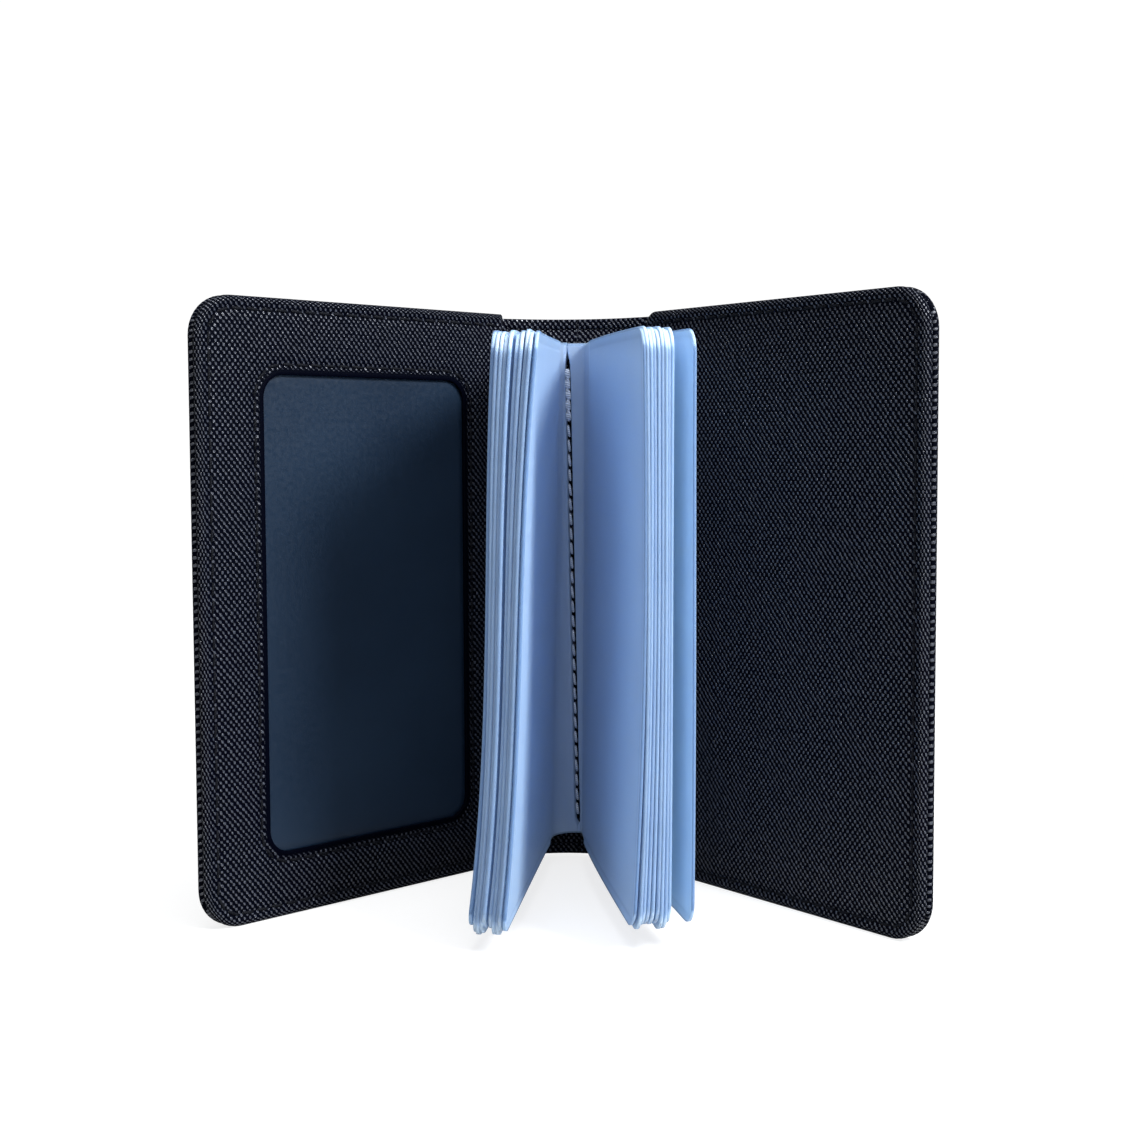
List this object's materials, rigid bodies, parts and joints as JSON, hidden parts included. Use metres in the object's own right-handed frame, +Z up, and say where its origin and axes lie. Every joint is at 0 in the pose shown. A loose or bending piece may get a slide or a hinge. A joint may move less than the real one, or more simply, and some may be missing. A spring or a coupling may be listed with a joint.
{
  "type": "card holder wallet",
  "caption": "Bifold leatherette card-holder wallet standing open, with an ID window, two slip pockets and a sewn book of clear card sleeves.",
  "frame": {"origin": "on the floor, under the middle of the whole wallet's bounding box", "axes": "+Z up along the folds, +X to the right cover, the wallet opens towards -Y and its spine is at +Y"},
  "size_m": [0.1204, 0.0674, 0.105],
  "materials": {
    "leatherette": "cross-grain embossed, satin",
    "foam": "open foam sheet",
    "board": "raw fibre board",
    "pocket_cloth": "plain woven lining",
    "window_film": "clear, glossy",
    "sleeve_film": "frosted clear, satin",
    "black_thread": "twisted polyester",
    "pale_thread": "twisted polyester"
  },
  "bodies": {
    "spine": {"spine_skin": "leatherette", "spine_lining": "leatherette", "sleeve_folds": "sleeve_film", "gutter_stitching": "pale_thread", "gutter_backtack": "pale_thread"},
    "left_cover": {"left_cover_skin": "leatherette", "left_foam_padding": "foam", "left_stiffener_board": "board", "left_pocket_lining": "pocket_cloth", "left_inner_panel": "leatherette", "id_pocket_backing": "pocket_cloth", "id_window_film": "window_film", "left_edge_stitching": "black_thread", "window_stitching": "black_thread"},
    "right_cover": {"right_cover_skin": "leatherette", "right_foam_padding": "foam", "right_stiffener_board": "board", "right_pocket_lining": "pocket_cloth", "right_inner_panel": "leatherette", "right_edge_stitching": "black_thread"},
    "left_sleeve_01": {"left_sleeve_01": "sleeve_film"},
    "left_sleeve_02": {"left_sleeve_02": "sleeve_film"},
    "left_sleeve_03": {"left_sleeve_03": "sleeve_film"},
    "left_sleeve_04": {"left_sleeve_04": "sleeve_film"},
    "left_sleeve_05": {"left_sleeve_05": "sleeve_film"},
    "left_sleeve_06": {"left_sleeve_06": "sleeve_film"},
    "left_sleeve_07": {"left_sleeve_07": "sleeve_film"},
    "left_sleeve_08": {"left_sleeve_08": "sleeve_film"},
    "left_sleeve_09": {"left_sleeve_09": "sleeve_film"},
    "left_sleeve_10": {"left_sleeve_10": "sleeve_film"},
    "right_sleeve_01": {"right_sleeve_01": "sleeve_film"},
    "right_sleeve_02": {"right_sleeve_02": "sleeve_film"},
    "right_sleeve_03": {"right_sleeve_03": "sleeve_film"},
    "right_sleeve_04": {"right_sleeve_04": "sleeve_film"},
    "right_sleeve_05": {"right_sleeve_05": "sleeve_film"},
    "right_sleeve_06": {"right_sleeve_06": "sleeve_film"},
    "right_sleeve_07": {"right_sleeve_07": "sleeve_film"},
    "right_sleeve_08": {"right_sleeve_08": "sleeve_film"},
    "right_sleeve_09": {"right_sleeve_09": "sleeve_film"},
    "right_sleeve_10": {"right_sleeve_10": "sleeve_film"}
  },
  "joints": [
    {"name": "left_cover_fold", "type": "hinge", "parent": "spine", "child": "left_cover", "pos_m": [-0.0176, 0.02796, 0.0525], "axis": [0, 0, 1], "range_deg": [-50.7, 39.3]},
    {"name": "right_cover_fold", "type": "hinge", "parent": "spine", "child": "right_cover", "pos_m": [0.0126, 0.02796, 0.0525], "axis": [0, 0, -1], "range_deg": [-44.9, 45.1]},
    {"name": "left_sleeve_01_turn", "type": "hinge", "parent": "spine", "child": "left_sleeve_01", "pos_m": [-0.0031, 0.02934, 0.0525], "axis": [0, 0, 1], "range_deg": [-4.39, 3.4]},
    {"name": "left_sleeve_02_turn", "type": "hinge", "parent": "spine", "child": "left_sleeve_02", "pos_m": [-0.0037, 0.02964, 0.0525], "axis": [0, 0, 1], "range_deg": [-4.55, 3.53]},
    {"name": "left_sleeve_03_turn", "type": "hinge", "parent": "spine", "child": "left_sleeve_03", "pos_m": [-0.0043, 0.02993, 0.0525], "axis": [0, 0, 1], "range_deg": [-4.7, 3.64]},
    {"name": "left_sleeve_04_turn", "type": "hinge", "parent": "spine", "child": "left_sleeve_04", "pos_m": [-0.0049, 0.0302, 0.0525], "axis": [0, 0, 1], "range_deg": [-4.86, 3.77]},
    {"name": "left_sleeve_05_turn", "type": "hinge", "parent": "spine", "child": "left_sleeve_05", "pos_m": [-0.0055, 0.03046, 0.0525], "axis": [0, 0, 1], "range_deg": [-5.01, 3.88]},
    {"name": "left_sleeve_06_turn", "type": "hinge", "parent": "spine", "child": "left_sleeve_06", "pos_m": [-0.0061, 0.0307, 0.0525], "axis": [0, 0, 1], "range_deg": [-5.17, 4.01]},
    {"name": "left_sleeve_07_turn", "type": "hinge", "parent": "spine", "child": "left_sleeve_07", "pos_m": [-0.0067, 0.03093, 0.0525], "axis": [0, 0, 1], "range_deg": [-5.32, 4.12]},
    {"name": "left_sleeve_08_turn", "type": "hinge", "parent": "spine", "child": "left_sleeve_08", "pos_m": [-0.0073, 0.03115, 0.0525], "axis": [0, 0, 1], "range_deg": [-5.48, 4.25]},
    {"name": "left_sleeve_09_turn", "type": "hinge", "parent": "spine", "child": "left_sleeve_09", "pos_m": [-0.0079, 0.03135, 0.0525], "axis": [0, 0, 1], "range_deg": [-5.63, 4.36]},
    {"name": "left_sleeve_10_turn", "type": "hinge", "parent": "spine", "child": "left_sleeve_10", "pos_m": [-0.0085, 0.03154, 0.0525], "axis": [0, 0, 1], "range_deg": [-5.78, 4.49]},
    {"name": "right_sleeve_01_turn", "type": "hinge", "parent": "spine", "child": "right_sleeve_01", "pos_m": [-0.0019, 0.02934, 0.0525], "axis": [0, 0, -1], "range_deg": [-10.66, 10.71]},
    {"name": "right_sleeve_02_turn", "type": "hinge", "parent": "spine", "child": "right_sleeve_02", "pos_m": [-0.0013, 0.02964, 0.0525], "axis": [0, 0, -1], "range_deg": [-10.69, 10.73]},
    {"name": "right_sleeve_03_turn", "type": "hinge", "parent": "spine", "child": "right_sleeve_03", "pos_m": [-0.0007, 0.02993, 0.0525], "axis": [0, 0, -1], "range_deg": [-10.72, 10.77]},
    {"name": "right_sleeve_04_turn", "type": "hinge", "parent": "spine", "child": "right_sleeve_04", "pos_m": [-0.0001, 0.0302, 0.0525], "axis": [0, 0, -1], "range_deg": [-10.75, 10.79]},
    {"name": "right_sleeve_05_turn", "type": "hinge", "parent": "spine", "child": "right_sleeve_05", "pos_m": [0.0005, 0.03046, 0.0525], "axis": [0, 0, -1], "range_deg": [-10.78, 10.82]},
    {"name": "right_sleeve_06_turn", "type": "hinge", "parent": "spine", "child": "right_sleeve_06", "pos_m": [0.0011, 0.0307, 0.0525], "axis": [0, 0, -1], "range_deg": [-10.81, 10.86]},
    {"name": "right_sleeve_07_turn", "type": "hinge", "parent": "spine", "child": "right_sleeve_07", "pos_m": [0.0017, 0.03093, 0.0525], "axis": [0, 0, -1], "range_deg": [-10.83, 10.88]},
    {"name": "right_sleeve_08_turn", "type": "hinge", "parent": "spine", "child": "right_sleeve_08", "pos_m": [0.0023, 0.03115, 0.0525], "axis": [0, 0, -1], "range_deg": [-10.87, 10.91]},
    {"name": "right_sleeve_09_turn", "type": "hinge", "parent": "spine", "child": "right_sleeve_09", "pos_m": [0.0029, 0.03135, 0.0525], "axis": [0, 0, -1], "range_deg": [-10.9, 10.95]},
    {"name": "right_sleeve_10_turn", "type": "hinge", "parent": "spine", "child": "right_sleeve_10", "pos_m": [0.0035, 0.03154, 0.0525], "axis": [0, 0, -1], "range_deg": [-13.52, 13.58]}
  ],
  "couplings": [
    {"joint": "left_sleeve_01_turn", "follows": "left_cover_fold", "ratio": 0.0865},
    {"joint": "left_sleeve_02_turn", "follows": "left_cover_fold", "ratio": 0.0896},
    {"joint": "left_sleeve_03_turn", "follows": "left_cover_fold", "ratio": 0.0926},
    {"joint": "left_sleeve_04_turn", "follows": "left_cover_fold", "ratio": 0.0957},
    {"joint": "left_sleeve_05_turn", "follows": "left_cover_fold", "ratio": 0.0987},
    {"joint": "left_sleeve_06_turn", "follows": "left_cover_fold", "ratio": 0.1018},
    {"joint": "left_sleeve_07_turn", "follows": "left_cover_fold", "ratio": 0.1048},
    {"joint": "left_sleeve_08_turn", "follows": "left_cover_fold", "ratio": 0.1079},
    {"joint": "left_sleeve_09_turn", "follows": "left_cover_fold", "ratio": 0.1109},
    {"joint": "left_sleeve_10_turn", "follows": "left_cover_fold", "ratio": 0.114},
    {"joint": "right_sleeve_01_turn", "follows": "right_cover_fold", "ratio": 0.2373},
    {"joint": "right_sleeve_02_turn", "follows": "right_cover_fold", "ratio": 0.2379},
    {"joint": "right_sleeve_03_turn", "follows": "right_cover_fold", "ratio": 0.2386},
    {"joint": "right_sleeve_04_turn", "follows": "right_cover_fold", "ratio": 0.2392},
    {"joint": "right_sleeve_05_turn", "follows": "right_cover_fold", "ratio": 0.2399},
    {"joint": "right_sleeve_06_turn", "follows": "right_cover_fold", "ratio": 0.2406},
    {"joint": "right_sleeve_07_turn", "follows": "right_cover_fold", "ratio": 0.2412},
    {"joint": "right_sleeve_08_turn", "follows": "right_cover_fold", "ratio": 0.2419},
    {"joint": "right_sleeve_09_turn", "follows": "right_cover_fold", "ratio": 0.2426},
    {"joint": "right_sleeve_10_turn", "follows": "right_cover_fold", "ratio": 0.3009}
  ]
}
